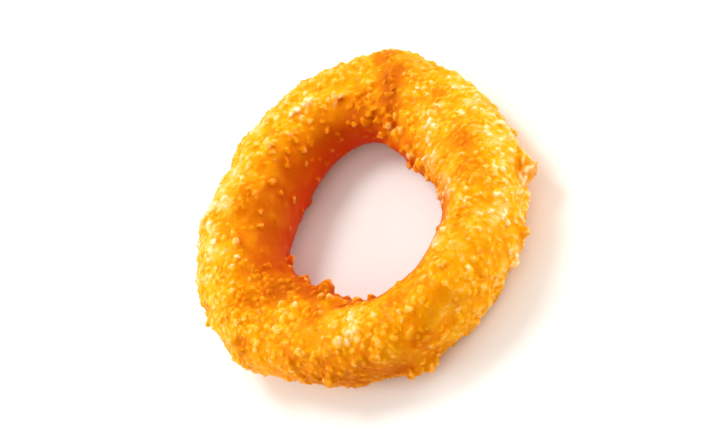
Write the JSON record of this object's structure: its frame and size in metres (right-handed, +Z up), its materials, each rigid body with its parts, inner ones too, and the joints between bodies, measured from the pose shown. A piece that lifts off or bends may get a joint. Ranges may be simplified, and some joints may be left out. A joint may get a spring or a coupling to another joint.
{
  "type": "onion ring",
  "caption": "Breaded and fried onion ring, lying flat: a thick, uneven ring of golden crumb coat, closed round an open hole.",
  "frame": {"origin": "middle of the ring's outline, on the surface that the ring rests on", "axes": "+Z up along the axis of the hole; +Y towards the far side in the view that the part is made for, and +X to its right"},
  "size_m": [0.077, 0.0768, 0.0196],
  "materials": {
    "crumb_coat": "fried breadcrumb, golden, rough, with a slight sheen of oil"
  },
  "bodies": {
    "root": {"onion_ring": "crumb_coat"}
  },
  "joints": []
}
